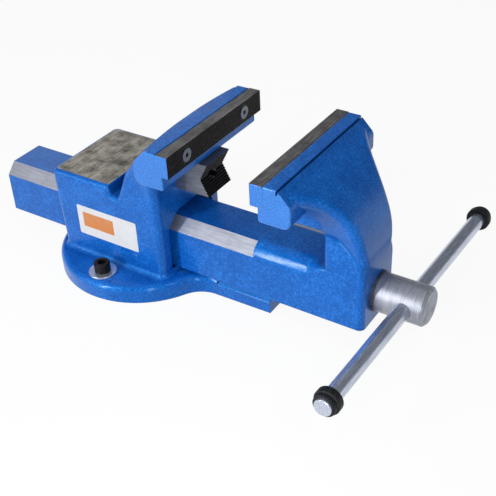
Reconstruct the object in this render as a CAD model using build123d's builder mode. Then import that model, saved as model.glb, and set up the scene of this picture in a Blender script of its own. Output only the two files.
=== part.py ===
from build123d import *

import os
from math import acos, cos, degrees, radians, sin, sqrt, tan

# A bench vise with a round fixed flange, a cast body with an anvil, and a cast ram that carries the
# moving jaw. Millimetres: +X runs along the ram towards the handle, +Z is up, and the origin is the
# centre of the round flange on the bench.

# Clearances
slide_clearance = 0.2
turn_clearance = 0.05
bar_clearance = 0.1
seat_clearance = 0.1
end_play = 0.2
weld_overlap = 1.0
pick_margin = 1.0

# Flange on the bench
flange_radius = 89.0
flange_thickness = 18.0
flange_edge_radius = 6.0
tail_reach = 167.0
tail_root_half_width = 28.0
tail_tip_half_width = 25.0
tail_step_margin = 3.1
tail_bevel = 6.0
tail_blend_radius = 30.0
mount_bolt_spacing = 140.8
mount_hole_diameter = 11.0

# Body and anvil
body_rear = -65.0
body_length = 127.0
body_rear_lean = 4.5
body_width = 102.0
body_corner_radius = 7.0
body_foot_radius = 5.5
anvil_height = 107.0
anvil_length = 67.3
anvil_edge_radius = 5.0
anvil_lip_radius = 1.5
valley_depth = 10.5
valley_length = 11.0
valley_start = 3.0
valley_rear_radius = 2.5
valley_front_radius = 5.0
mouth_gap = 6.0
mouth_depth = 9.0
mouth_corner_radius = 10.0

# Jaws, measured back from the gripping face and down from the jaw top
jaw_width = 150.0
jaw_top = 176.0
jaw_face = 100.0
jaw_opening = 82.0
jaw_opening_max = 200.0
plate_height = 21.0
plate_thickness = 13.5
plate_chamfer = 1.2
ledge_depth = 7.5
beam_top_depth = 25.5
beam_depth = 39.0
beam_height = 35.5
beam_shoulder_drop = 14.0
beam_heel_radius = 8.0
beam_toe_radius = 3.0
beam_edge_radius = 1.5
gusset = 12.0
gusset_radius = 5.0

# Neck between the body and the fixed jaw
neck_knee_depth = 73.0
neck_knee_drop = 47.0
neck_knee_radius = 30.0
neck_inset = 6.0
crest_bow = 6.0
crest_radius = 2.5

# Ram, its cored inside and the neck behind the moving jaw
ram_gap = 4.0
ram_width = 61.0
ram_height = 54.0
ram_flat = 11.3
ram_overhang = 92.3
ram_wall = 9.0
ram_floor = 8.0
ram_core_chamfer = 3.0
ram_slot_gap = 1.5
ram_slot_spare = 6.0
neck_margin = 9.1
neck_proud = 1.5
neck_corner_radius = 16.0
neck_end_radius = 2.0
neck_runout = 18.0
neck_runout_steps = 4

# Moving jaw pedestal
pedestal_rear_depth = 44.0
pedestal_front_depth = 85.0
panel_radius = 86.0
panel_ledge_drop = 4.7
panel_ledge_depth = 27.0
panel_groove_width = 1.6
panel_groove_drop = 4.5
web_width = 58.0
web_draft = 15.0
web_edge_radius = 7.0
web_flare_height = 123.0
cheek_rear_height = 114.5
cheek_front_height = 75.0
cheek_edge_radius = 6.0
bulkhead_thickness = 28.0
support_depth = 12.0
support_width = 52.0
support_drop = 28.5
support_edge_radius = 4.0

# Pipe jaws
pipe_length = 37.0
pipe_reach = 38.0
pipe_top_drop = 36.2
pipe_height = 33.4
pipe_vee_depth = 8.6
pipe_setback = 0.3
pipe_seat_depth = 2.0
tooth_count = 7
tooth_depth = 1.0

# Screws that hold the jaw plates and the pipe jaws
plate_screw_diameter = 6.0
plate_screw_head_diameter = 12.6
plate_screw_spacing = 92.6
plate_screw_length = 26.0
plate_screw_socket = 4.0
plate_screw_socket_depth = 2.6
pipe_screw_diameter = 8.0
pipe_screw_head_diameter = 13.0
pipe_screw_head_height = 8.0
pipe_screw_sink = 4.0
pipe_screw_grip = 16.0
pipe_screw_socket = 6.0
pipe_screw_socket_depth = 4.0

# Spindle, nut and thrust pieces
thread_diameter = 24.0
thread_pitch = 5.0
shank_diameter = 26.0
head_diameter = 37.0
head_length = 46.6
head_chamfer = 2.5
bar_hole_from_head_rear = 28.0
washer_diameter = 39.0
washer_thickness = 2.8
collar_diameter = 33.0
collar_length = 14.0
collar_pin_diameter = 6.0
collar_pin_recess = 1.0
nut_start = -3.0
nut_length = 46.0
nut_width = 36.0
nut_height = 33.0
nut_stem_width = 24.0
nut_seat_depth = 3.0
nut_screw_diameter = 10.0
nut_screw_head_diameter = 16.0
nut_screw_head_height = 10.0
nut_screw_recess = 1.0
nut_screw_length = 22.0
nut_screw_spacing = 26.0
nut_screw_socket = 8.0
nut_screw_socket_depth = 5.0

# Handle bar, which leans a little and stands a little off its middle
bar_diameter = 15.0
bar_length = 329.5
bar_shift = 6.45
bar_lean = -2.4
ring_diameter = 23.5
ring_length = 8.0
ring_lip_diameter = 20.0
ring_lip_length = 3.5
ring_edge_radius = 1.5
cap_diameter = 15.5
cap_length = 3.0
cap_edge_radius = 1.0
cap_stud_diameter = 8.0
cap_stud_length = 12.0

# Places that follow from the sizes above
body_front = body_rear + body_length
anvil_rear = body_rear - body_rear_lean
anvil_front = body_rear + anvil_length
moving_face = jaw_face + jaw_opening
ram_bottom = flange_thickness + ram_gap
ram_top = ram_bottom + ram_height
ram_rear = body_rear - ram_overhang
neck_start = body_front + jaw_opening + neck_margin
spindle_z = ram_bottom + ram_height / 2
beam_bottom = jaw_top - beam_height
beam_shoulder = jaw_top - beam_shoulder_drop
plate_bottom = jaw_top - plate_height
plate_screw_z = jaw_top - plate_height / 2
pedestal_rear = moving_face + pedestal_rear_depth
support_bottom = beam_bottom - support_drop
pedestal_front = moving_face + pedestal_front_depth
bulkhead_rear = pedestal_front - bulkhead_thickness
pipe_z = jaw_top - pipe_top_drop - pipe_height / 2
nut_front = nut_start + nut_length
thread_rear = nut_start - (jaw_opening_max - jaw_opening) - thread_pitch
thread_front = nut_front + jaw_opening + thread_pitch
head_rear = pedestal_front + washer_thickness + end_play
bar_x = head_rear + bar_hole_from_head_rear
nut_floor = ram_bottom - slide_clearance - nut_seat_depth
nut_middle = nut_start + nut_length / 2
nut_screw_end = nut_screw_recess + nut_screw_head_height + nut_screw_length
core_bottom = ram_bottom + ram_floor
core_top = ram_top - ram_wall
slot_front = nut_front + jaw_opening + ram_slot_spare
collar_front = bulkhead_rear - end_play
collar_middle = collar_front - collar_length / 2
bar_plane = Plane(
    origin=(bar_x, 0, spindle_z), x_dir=(1, 0, 0), z_dir=(0, cos(radians(bar_lean)), sin(radians(bar_lean)))
)
far_reach = 2 * tail_reach
blend_centre = flange_radius + tail_blend_radius
tail_step = sqrt(blend_centre**2 - (tail_root_half_width + tail_blend_radius) ** 2) + tail_step_margin

# The fixed jaw faces +X and the moving jaw faces -X, so depth behind a face runs the other way
FIXED = 1
MOVING = -1
faces = {FIXED: jaw_face, MOVING: moving_face}

# Ends of the handle bar, on the photographed side and on the other
NEAR = -1
FAR = 1


def behind(side, depth):
    """X of a place that lies this far behind a jaw's gripping face."""
    return faces[side] - side * depth


def slope_plane(side):
    """Plane square to the sloping back of a jaw, whose own Y climbs along that slope."""
    return Plane(origin=(0, 0, 0), x_dir=(0, -side, 0), z_dir=(-side, 0, 1))


def climb(side, x, z):
    """How far a place lies up the slope of a jaw's back."""
    return (side * x + z) / sqrt(2)


def flare(side, front, half_low, half_high, low, high, depth, draft):
    """Solid that keeps a jaw's sides narrow below and flares them above, and narrows behind its front."""
    with BuildPart() as prism:
        with BuildSketch(slope_plane(side).offset(front)):
            with BuildLine():
                Polyline((half_low, low), (half_low, -far_reach), (-half_low, -far_reach), (-half_low, low))
                TangentArc((-half_low, low), (-half_high, high), tangent=(0, 1))
                Polyline(
                    (-half_high, high), (-half_high, far_reach), (half_high, far_reach), (half_high, high)
                )
                TangentArc((half_low, low), (half_high, high), tangent=(0, 1))
            make_face()
        extrude(amount=-depth, taper=draft)
    return prism.part


def jaw_beam(side):
    """Cast cross beam of a jaw, with the stepped seat for its plate."""
    outline = [
        (behind(side, plate_thickness), jaw_top),
        (behind(side, beam_top_depth), jaw_top),
        (behind(side, beam_depth), beam_shoulder),
        (behind(side, beam_depth), beam_bottom),
        (behind(side, ledge_depth), beam_bottom),
        (behind(side, ledge_depth), plate_bottom),
        (behind(side, plate_thickness), plate_bottom),
    ]
    corners = [0, beam_toe_radius, beam_heel_radius, beam_heel_radius, beam_toe_radius, 0, 0]
    with BuildPart() as beam:
        with BuildSketch(Plane.XZ):
            with BuildLine():
                FilletPolyline(*outline, radius=corners, close=True)
            make_face()
        extrude(amount=jaw_width / 2, both=True)
        ends = beam.edges().group_by(Axis.Y)[0] + beam.edges().group_by(Axis.Y)[-1]
        cast = [edge for edge in ends if abs(edge.center().X - behind(side, 0)) > plate_thickness]
        fillet(cast, beam_edge_radius)
    return beam.part


def screw_bores(side, depth):
    """Tapped bores for the two plate screws, which end this far behind the gripping face."""
    with BuildPart() as bores:
        with BuildSketch(Plane.YZ.offset(behind(side, 0))):
            with Locations((0, plate_screw_z)):
                with GridLocations(plate_screw_spacing, 0, 2, 1):
                    Circle(plate_screw_diameter / 2 + turn_clearance)
        extrude(amount=-side * depth)
    return bores.part


def jaw_plate(side):
    """Hardened plate of a jaw, with two countersunk screw holes."""
    with BuildPart() as plate:
        with BuildSketch(Plane.XZ):
            with Locations((behind(side, plate_thickness / 2), plate_screw_z)):
                Rectangle(plate_thickness, plate_height)
        extrude(amount=jaw_width / 2, both=True)
        top_edges = plate.edges().filter_by(Axis.Y).group_by(Axis.Z)[-1].sort_by(Axis.X)
        chamfer(top_edges[0 if side == FIXED else -1], plate_chamfer)
        face_plane = Plane(origin=(behind(side, 0), 0, plate_screw_z), x_dir=(0, 1, 0), z_dir=(side, 0, 0))
        with Locations(face_plane):
            with GridLocations(plate_screw_spacing, 0, 2, 1):
                CounterSinkHole(
                    radius=plate_screw_diameter / 2 + turn_clearance,
                    counter_sink_radius=plate_screw_head_diameter / 2 + seat_clearance,
                    counter_sink_angle=90,
                )
    return plate.part


def jaw_screws(side):
    """Two countersunk screws with hexagon sockets, sunk just under the gripping face."""
    head_r = plate_screw_head_diameter / 2
    shank_r = plate_screw_diameter / 2
    head_height = head_r - shank_r
    face_x = behind(side, seat_clearance)
    face_plane = Plane(origin=(face_x, 0, plate_screw_z), x_dir=(0, 1, 0), z_dir=(side, 0, 0))
    with BuildPart() as screws:
        with BuildSketch(face_plane):
            with GridLocations(plate_screw_spacing, 0, 2, 1):
                Circle(shank_r)
        extrude(amount=-plate_screw_length)
        with Locations(face_plane.offset(-head_height / 2)):
            with GridLocations(plate_screw_spacing, 0, 2, 1):
                Cone(bottom_radius=shank_r, top_radius=head_r, height=head_height)
        with BuildSketch(face_plane):
            with GridLocations(plate_screw_spacing, 0, 2, 1):
                RegularPolygon(plate_screw_socket / 2, 6, major_radius=False)
        extrude(amount=-plate_screw_socket_depth, mode=Mode.SUBTRACT)
    return screws.part


def vee_outline(side):
    """Corner points of a pipe jaw seen along Y, with teeth down both flanks of its vee."""
    tip = pipe_setback
    root = pipe_setback + pipe_vee_depth
    half = pipe_height / 2
    flank = sqrt(half**2 + pipe_vee_depth**2)
    across = (half / flank, pipe_vee_depth / flank)
    points = [(behind(side, pipe_reach + pipe_seat_depth), pipe_z + half)]
    for end in (1, -1):
        for tooth in range(2 * tooth_count):
            along = tooth / (2 * tooth_count)
            share = along if end == 1 else 1 - along
            bite = tooth_depth if tooth % 2 else 0
            depth = tip + (root - tip) * share + bite * across[0]
            height = pipe_z + end * (half * (1 - share) + bite * across[1])
            points.append((behind(side, depth), height))
    points.append((behind(side, tip), pipe_z - half))
    points.append((behind(side, pipe_reach + pipe_seat_depth), pipe_z - half))
    return points


def pipe_jaw(side):
    """Toothed vee block under a jaw plate, with a sunk hole for its screw."""
    screw_seat = pipe_setback + pipe_vee_depth + pipe_screw_sink + pipe_screw_head_height
    with BuildPart() as block:
        with BuildSketch(Plane.XZ):
            with BuildLine():
                Polyline(*vee_outline(side), close=True)
            make_face()
        extrude(amount=pipe_length / 2, both=True)
        with BuildSketch(Plane.YZ.offset(behind(side, 0))):
            with Locations((0, pipe_z)):
                Circle(pipe_screw_head_diameter / 2 + seat_clearance)
        extrude(amount=-side * screw_seat, mode=Mode.SUBTRACT)
        with BuildSketch(Plane.YZ.offset(behind(side, 0))):
            with Locations((0, pipe_z)):
                Circle(pipe_screw_diameter / 2 + turn_clearance)
        extrude(amount=-side * far_reach, mode=Mode.SUBTRACT)
    return block.part


def pipe_seat(side):
    """Pocket that takes a pipe jaw, with the tapped bore for its screw."""
    with BuildPart() as pocket:
        with BuildSketch(Plane.YZ.offset(behind(side, pipe_reach + pipe_seat_depth))):
            with Locations((0, pipe_z)):
                Rectangle(pipe_length + 2 * seat_clearance, pipe_height + 2 * seat_clearance)
        extrude(amount=side * (pipe_reach + pipe_seat_depth))
        with BuildSketch(Plane.YZ.offset(behind(side, pipe_reach))):
            with Locations((0, pipe_z)):
                Circle(pipe_screw_diameter / 2 + turn_clearance)
        extrude(amount=-side * (pipe_seat_depth + pipe_screw_grip + end_play))
    return pocket.part


def pipe_screw(side):
    """Socket head screw that holds a pipe jaw in its pocket."""
    head_front = pipe_setback + pipe_vee_depth + pipe_screw_sink
    shank_end = pipe_reach + pipe_seat_depth + pipe_screw_grip
    with BuildPart() as screw:
        with BuildSketch(Plane.YZ.offset(behind(side, head_front))):
            with Locations((0, pipe_z)):
                Circle(pipe_screw_head_diameter / 2)
        extrude(amount=-side * pipe_screw_head_height)
        with BuildSketch(Plane.YZ.offset(behind(side, head_front))):
            with Locations((0, pipe_z)):
                Circle(pipe_screw_diameter / 2)
        extrude(amount=-side * (shank_end - head_front))
        with BuildSketch(Plane.YZ.offset(behind(side, head_front))):
            with Locations((0, pipe_z)):
                RegularPolygon(pipe_screw_socket / 2, 6, major_radius=False)
        extrude(amount=-side * pipe_screw_socket_depth, mode=Mode.SUBTRACT)
    return screw.part


def ram_outline(x, growth, drop, rounding):
    """Ram section at this X with its two flats, grown by this much, let down and rounded at the top."""
    half = ram_width / 2 + growth
    low = ram_bottom - drop
    high = ram_top + growth
    flat = ram_flat + growth * (2 - sqrt(2))
    with BuildSketch(Plane.YZ.offset(x)) as section:
        Polygon(
            (-half, low),
            (half, low),
            (half, high - flat),
            (half - flat, high),
            (flat - half, high),
            (-half, high - flat),
            align=None,
        )
        if rounding > 0:
            fillet(section.vertices().sort_by(Axis.Y)[2:], rounding)
    return section.sketch


def neck_section(x, rounding):
    """Neck section at this X with its two top corners rounded."""
    with BuildSketch(Plane.YZ.offset(x)) as section:
        with Locations((0, (ram_bottom + ram_top + neck_proud) / 2)):
            Rectangle(ram_width, ram_height + neck_proud)
        fillet(section.vertices().sort_by(Axis.Y)[2:], rounding)
    return section.sketch


def neck_end(share):
    """Section near the end of the neck, this share of the way along, where its rounding runs out."""
    ease = share**2 * (3 - 2 * share)
    rounding = neck_corner_radius + ease * (neck_end_radius - neck_corner_radius)
    return neck_section(pedestal_rear - neck_runout * (1 - share), rounding)


def tail_half_width(x):
    """Half width of the flange's tapering tail at this X."""
    return tail_root_half_width + (tail_tip_half_width - tail_root_half_width) * x / tail_reach


def disc_on_spindle(x, diameter):
    """Circle around the spindle axis at this X."""
    with BuildSketch(Plane.YZ.offset(x)) as disc:
        with Locations((0, spindle_z)):
            Circle(diameter / 2)
    return disc.sketch


def on_bar(distance):
    """Plane square to the handle bar, this far along it from the bar's middle."""
    return bar_plane.offset(bar_shift + distance)


def grip_ring(end):
    """Stepped rubber ring on the bar, which softens its stop against the spindle head."""
    with BuildPart() as ring:
        with BuildSketch(on_bar(end * (bar_length / 2 - ring_lip_length))):
            Circle(ring_diameter / 2)
        extrude(amount=-end * ring_length)
        fillet(ring.edges().filter_by(GeomType.CIRCLE), ring_edge_radius)
        with BuildSketch(on_bar(end * bar_length / 2)):
            Circle(ring_lip_diameter / 2)
        extrude(amount=-end * (ring_length / 2 + ring_lip_length))
        with BuildSketch(on_bar(end * bar_length / 2)):
            Circle(bar_diameter / 2 + turn_clearance)
        extrude(amount=-end * (ring_length + ring_lip_length), mode=Mode.SUBTRACT)
    return ring.part


def end_cap(end):
    """Steel cap that closes this end of the bar, with a stud pressed into the bar."""
    with BuildPart() as cap:
        with BuildSketch(on_bar(end * bar_length / 2)):
            Circle(cap_diameter / 2)
        extrude(amount=end * cap_length)
        fillet(cap.faces().sort_by(Axis.Y)[-1 if end == FAR else 0].edges(), cap_edge_radius)
        with BuildSketch(on_bar(end * bar_length / 2)):
            Circle(cap_stud_diameter / 2)
        extrude(amount=-end * cap_stud_length)
    return cap.part


def keep(part, name):
    """Name a finished piece and write it to its own file."""
    part.label = name
    export_step(part, f"parts/{name}.step")


os.makedirs("parts", exist_ok=True)

# Body, anvil and neck as one cast core, each corner with its rounding
body_corners = [
    ((body_rear, flange_thickness / 2), 0),
    ((anvil_rear, anvil_height), 0),
    ((anvil_front, anvil_height), anvil_lip_radius),
    ((anvil_front + valley_start, anvil_height - valley_depth), valley_rear_radius),
    ((anvil_front + valley_length, anvil_height - valley_depth), valley_front_radius),
    ((behind(FIXED, neck_knee_depth), jaw_top - neck_knee_drop), neck_knee_radius),
    ((behind(FIXED, beam_top_depth + crest_bow), jaw_top), crest_radius),
    ((behind(FIXED, plate_thickness + beam_toe_radius), jaw_top), 0),
    ((behind(FIXED, plate_thickness + beam_toe_radius), beam_bottom + beam_toe_radius), 0),
    ((body_front + gusset, beam_bottom), 0),
    ((body_front, beam_bottom - gusset), gusset_radius),
    ((body_front, flange_thickness / 2), 0),
]
neck_flare = flare(
    FIXED,
    front=tail_reach,
    half_low=body_width / 2,
    half_high=jaw_width / 2 - neck_inset,
    low=climb(FIXED, behind(FIXED, neck_knee_depth), jaw_top - neck_knee_drop),
    high=climb(FIXED, behind(FIXED, beam_depth), beam_shoulder),
    depth=far_reach,
    draft=0,
)
with BuildPart() as body_core:
    with BuildSketch(Plane.XZ):
        with BuildLine():
            FilletPolyline(
                *[corner for corner, rounding in body_corners],
                radius=[rounding for corner, rounding in body_corners],
                close=True,
            )
        make_face()
    extrude(amount=jaw_width / 2, both=True)
    add(neck_flare, mode=Mode.INTERSECT)
    rear_face = body_core.faces().filter_by(GeomType.PLANE).sort_by(Axis.X)[0]
    fillet(rear_face.edges().filter_by(Axis.Y, reverse=True), body_corner_radius)
    upright = body_core.edges().filter_by(Axis.Z).filter_by_position(
        Axis.X, body_front - pick_margin, body_front + pick_margin
    )
    fillet(upright.group_by(Axis.Z)[0], body_corner_radius)
    anvil_top = body_core.faces().filter_by(Axis.Z).filter_by_position(
        Axis.Z, anvil_height - pick_margin, anvil_height + pick_margin
    )
    fillet(anvil_top.edges().sort_by(Axis.X)[:-1], anvil_edge_radius)
    # the top rear edge of the neck bows back at its middle, and its slope follows that bow
    with BuildSketch(Plane.XY.offset(jaw_top)):
        with BuildLine():
            ThreePointArc(
                (behind(FIXED, beam_top_depth), -jaw_width / 2),
                (behind(FIXED, beam_top_depth + crest_bow), 0),
                (behind(FIXED, beam_top_depth), jaw_width / 2),
            )
            Polyline(
                (behind(FIXED, beam_top_depth), jaw_width / 2),
                (behind(FIXED, neck_knee_depth), jaw_width / 2),
                (behind(FIXED, neck_knee_depth), -jaw_width / 2),
                (behind(FIXED, beam_top_depth), -jaw_width / 2),
            )
        make_face()
    extrude(amount=neck_knee_drop, dir=(-1, 0, -1), mode=Mode.SUBTRACT)

# Fixed body with its flange, guide, jaw beam and every seat
with BuildPart() as fixed_body:
    with BuildSketch() as flange_plan:
        Circle(flange_radius)
        Polygon(
            (0, -tail_half_width(0)),
            (tail_reach, -tail_half_width(tail_reach)),
            (tail_reach, tail_half_width(tail_reach)),
            (0, tail_half_width(0)),
            align=None,
        )
        fillet(flange_plan.vertices().sort_by(Axis.X)[:2], tail_blend_radius)
    extrude(amount=flange_thickness)
    rim = fixed_body.edges().group_by(Axis.Z)[-1].filter_by(GeomType.CIRCLE)
    fillet(rim, flange_edge_radius)
    with BuildSketch():
        Polygon(
            (tail_step, -tail_half_width(tail_step)),
            (tail_reach, -tail_half_width(tail_reach)),
            (tail_reach, tail_half_width(tail_reach)),
            (tail_step, tail_half_width(tail_step)),
            align=None,
        )
    extrude(amount=flange_thickness)
    tail_rims = fixed_body.edges().group_by(Axis.Z)[-1].filter_by_position(Axis.X, tail_step, tail_reach)
    chamfer(tail_rims.sort_by(SortBy.LENGTH)[-2:], tail_bevel)
    with BuildSketch():
        with GridLocations(0, mount_bolt_spacing, 1, 2):
            Circle(mount_hole_diameter / 2)
    extrude(amount=flange_thickness, mode=Mode.SUBTRACT)
    add(body_core.part)
    foot = fixed_body.edges().filter_by_position(
        Axis.Z, flange_thickness - seat_clearance, flange_thickness + seat_clearance
    )
    inner = [
        edge
        for edge in foot
        if body_rear - pick_margin < edge.center().X < body_front + pick_margin
        and abs(edge.center().Y) < body_width / 2 + pick_margin
    ]
    fillet(inner, body_foot_radius)
    add(jaw_beam(FIXED))
    extrude(
        ram_outline(0, slide_clearance, slide_clearance, 0), amount=far_reach, both=True, mode=Mode.SUBTRACT
    )
    extrude(
        ram_outline(body_front, mouth_gap, ram_gap, mouth_corner_radius),
        amount=-mouth_depth,
        mode=Mode.SUBTRACT,
    )
    with BuildSketch(Plane.XY.offset(nut_floor)):
        with Locations((nut_middle, 0)):
            Rectangle(nut_length + 2 * seat_clearance, nut_stem_width + 2 * seat_clearance)
    extrude(amount=ram_gap, mode=Mode.SUBTRACT)
    with Locations(Plane(origin=(nut_middle, 0, 0), z_dir=(0, 0, -1))):
        with GridLocations(nut_screw_spacing, 0, 2, 1):
            CounterBoreHole(
                radius=nut_screw_diameter / 2 + turn_clearance,
                counter_bore_radius=nut_screw_head_diameter / 2 + 2 * seat_clearance,
                counter_bore_depth=nut_screw_head_height + nut_screw_recess,
                depth=nut_floor,
            )
    add(pipe_seat(FIXED), mode=Mode.SUBTRACT)
    add(screw_bores(FIXED, plate_screw_length + end_play + seat_clearance), mode=Mode.SUBTRACT)
keep(fixed_body.part, "fixed_body")

# Nut block of the spindle, which stands on a stem through the slot in the ram
with BuildPart() as spindle_nut:
    with BuildSketch(Plane.YZ.offset(nut_start)):
        with Locations((0, spindle_z)):
            Rectangle(nut_width, nut_height)
        with Locations((0, (nut_floor + spindle_z) / 2)):
            Rectangle(nut_stem_width, spindle_z - nut_floor)
    extrude(amount=nut_length)
    extrude(
        disc_on_spindle(nut_start, thread_diameter + 2 * turn_clearance),
        amount=nut_length,
        mode=Mode.SUBTRACT,
    )
    with BuildSketch(Plane.XY.offset(nut_floor)):
        with Locations((nut_middle, 0)):
            with GridLocations(nut_screw_spacing, 0, 2, 1):
                Circle(nut_screw_diameter / 2 + turn_clearance)
    extrude(amount=nut_screw_end + end_play - nut_floor, mode=Mode.SUBTRACT)
keep(spindle_nut.part, "spindle_nut")

# Two screws up through the flange into the nut block
with BuildPart() as nut_screws:
    with BuildSketch(Plane.XY.offset(nut_screw_recess)):
        with Locations((nut_middle, 0)):
            with GridLocations(nut_screw_spacing, 0, 2, 1):
                Circle(nut_screw_head_diameter / 2)
    extrude(amount=nut_screw_head_height)
    with BuildSketch(Plane.XY.offset(nut_screw_recess)):
        with Locations((nut_middle, 0)):
            with GridLocations(nut_screw_spacing, 0, 2, 1):
                Circle(nut_screw_diameter / 2)
    extrude(amount=nut_screw_end - nut_screw_recess)
    with BuildSketch(Plane.XY.offset(nut_screw_recess)):
        with Locations((nut_middle, 0)):
            with GridLocations(nut_screw_spacing, 0, 2, 1):
                RegularPolygon(nut_screw_socket / 2, 6, major_radius=False)
    extrude(amount=nut_screw_socket_depth, mode=Mode.SUBTRACT)
keep(nut_screws.part, "nut_screws")

# Low cheek block of the moving jaw around the spindle, as wide as the ram
with BuildPart() as cheek:
    with BuildSketch(Plane.XZ):
        with BuildLine():
            Polyline(
                (pedestal_rear, cheek_rear_height),
                (pedestal_rear, ram_bottom),
                (pedestal_front, ram_bottom),
                (pedestal_front, cheek_front_height),
            )
            EllipticalCenterArc(
                (pedestal_rear, cheek_front_height),
                pedestal_front - pedestal_rear,
                cheek_rear_height - cheek_front_height,
                start_angle=0,
                arc_size=90,
            )
        make_face()
    extrude(amount=ram_width / 2, both=True)
    shoulders = cheek.edges().filter_by(GeomType.ELLIPSE)
    fillet(shoulders + cheek.edges().filter_by(Axis.Z), cheek_edge_radius)

# Curved web of the moving jaw, which flares into its beam and narrows behind its panel
panel_x = pedestal_front - panel_radius
panel_sweep = degrees(acos((behind(MOVING, panel_ledge_depth) - panel_x) / panel_radius))
panel_top = jaw_top - panel_ledge_drop
panel_spring = panel_top - panel_radius * sin(radians(panel_sweep))
web_flare_x = panel_x + sqrt(panel_radius**2 - (web_flare_height - panel_spring) ** 2)
web_front = (panel_x + panel_spring) / sqrt(2) + panel_radius
web_foot_depth = web_front - (pedestal_front + panel_spring) / sqrt(2)
web_flare = flare(
    MOVING,
    front=web_front,
    half_low=web_width / 2 + web_foot_depth * tan(radians(web_draft)),
    half_high=jaw_width / 2 - beam_edge_radius,
    low=climb(MOVING, web_flare_x, web_flare_height),
    high=climb(MOVING, behind(MOVING, beam_depth), beam_shoulder),
    depth=panel_radius,
    draft=web_draft,
)
with BuildPart() as web:
    with BuildSketch(Plane.XZ):
        with BuildLine():
            CenterArc((panel_x, panel_spring), panel_radius, 0, panel_sweep)
            Polyline(
                (behind(MOVING, panel_ledge_depth), panel_top),
                (behind(MOVING, panel_ledge_depth), beam_shoulder),
                (pedestal_rear - gusset, beam_bottom),
                (pedestal_rear, beam_bottom - gusset),
                (pedestal_rear, spindle_z),
                (pedestal_front, spindle_z),
                (pedestal_front, panel_spring),
            )
        make_face()
    extrude(amount=jaw_width / 2, both=True)
    add(web_flare, mode=Mode.INTERSECT)
    panel = web.faces().filter_by(GeomType.CYLINDER).sort_by(Axis.X)[-1]
    panel_foot = web.faces().filter_by(Axis.X).sort_by(Axis.X)[-1]
    fillet((panel.edges() + panel_foot.edges()).filter_by(Axis.Y, reverse=True), web_edge_radius)

# Moving jaw with its ram
with BuildPart() as moving_jaw:
    extrude(ram_outline(ram_rear, 0, 0, 0), amount=neck_start + weld_overlap - ram_rear)
    extrude(neck_section(neck_start, neck_corner_radius), amount=pedestal_rear - neck_runout - neck_start)
    # the rounding of the neck runs out into the flat sides of the pedestal
    loft(sections=[neck_end(step / neck_runout_steps) for step in range(neck_runout_steps + 1)])
    extrude(neck_end(1), amount=gusset)
    add(cheek.part)
    add(web.part)
    # support of the beam, whose two sides stand beside the pipe jaw
    with BuildSketch(Plane.YZ.offset(behind(MOVING, support_depth))) as support_section:
        with Locations((0, (support_bottom + beam_bottom + weld_overlap) / 2)):
            Rectangle(support_width, support_drop + weld_overlap)
        fillet(support_section.vertices().sort_by(Axis.Y)[:2], support_edge_radius)
    extrude(amount=pedestal_rear_depth - support_depth + weld_overlap)
    add(jaw_beam(MOVING))
    # narrow groove that parts the top of the beam from the panel
    with BuildSketch(Plane.XZ):
        with Locations((behind(MOVING, beam_top_depth + panel_groove_width / 2), jaw_top)):
            Rectangle(panel_groove_width, 2 * panel_groove_drop)
    extrude(amount=jaw_width / 2, both=True, mode=Mode.SUBTRACT)
    # cored inside, open at the rear, with a slot below it for the stem of the nut
    with BuildSketch(Plane.YZ.offset(ram_rear)) as core_section:
        with Locations((0, (core_bottom + core_top) / 2)):
            Rectangle(ram_width - 2 * ram_wall, core_top - core_bottom)
        chamfer(core_section.vertices().sort_by(Axis.Y)[2:], ram_core_chamfer)
    extrude(amount=bulkhead_rear - ram_rear, mode=Mode.SUBTRACT)
    with BuildSketch(Plane.XY.offset(ram_bottom)):
        with Locations(((ram_rear + slot_front) / 2, 0)):
            Rectangle(slot_front - ram_rear, nut_stem_width + 2 * ram_slot_gap)
    extrude(amount=ram_floor + weld_overlap, mode=Mode.SUBTRACT)
    extrude(
        disc_on_spindle(pedestal_front, shank_diameter + 2 * turn_clearance),
        amount=-bulkhead_thickness - weld_overlap,
        mode=Mode.SUBTRACT,
    )
    add(pipe_seat(MOVING), mode=Mode.SUBTRACT)
    add(screw_bores(MOVING, plate_screw_length + end_play + seat_clearance), mode=Mode.SUBTRACT)
keep(moving_jaw.part, "moving_jaw")

# Plates, pipe jaws and their screws, the same for both jaws
for side, owner in ((FIXED, "fixed"), (MOVING, "moving")):
    keep(jaw_plate(side), f"{owner}_jaw_plate")
    keep(jaw_screws(side), f"{owner}_jaw_screws")
    keep(pipe_jaw(side), f"{owner}_pipe_jaw")
    keep(pipe_screw(side), f"{owner}_pipe_jaw_screw")

# Spindle with its thread drawn as a plain cylinder, its shank and its head
with BuildPart() as spindle:
    extrude(disc_on_spindle(thread_rear, thread_diameter), amount=thread_front - thread_rear)
    extrude(disc_on_spindle(thread_front, shank_diameter), amount=head_rear - thread_front)
    extrude(disc_on_spindle(head_rear, head_diameter), amount=head_length)
    chamfer(spindle.edges().group_by(Axis.X)[-1], head_chamfer)
    chamfer(spindle.edges().group_by(Axis.X)[0], head_chamfer)
    with BuildSketch(bar_plane):
        Circle(bar_diameter / 2 + bar_clearance)
    extrude(amount=head_diameter, both=True, mode=Mode.SUBTRACT)
    with BuildSketch(Plane.XY.offset(spindle_z)):
        with Locations((collar_middle, 0)):
            Circle(collar_pin_diameter / 2 + turn_clearance)
    extrude(amount=shank_diameter, both=True, mode=Mode.SUBTRACT)
keep(spindle.part, "spindle")

# Thrust washer between the spindle head and the moving jaw
with BuildPart() as thrust_washer:
    extrude(disc_on_spindle(pedestal_front, washer_diameter), amount=washer_thickness)
    extrude(
        disc_on_spindle(pedestal_front, shank_diameter + 2 * turn_clearance),
        amount=washer_thickness,
        mode=Mode.SUBTRACT,
    )
keep(thrust_washer.part, "thrust_washer")

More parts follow.
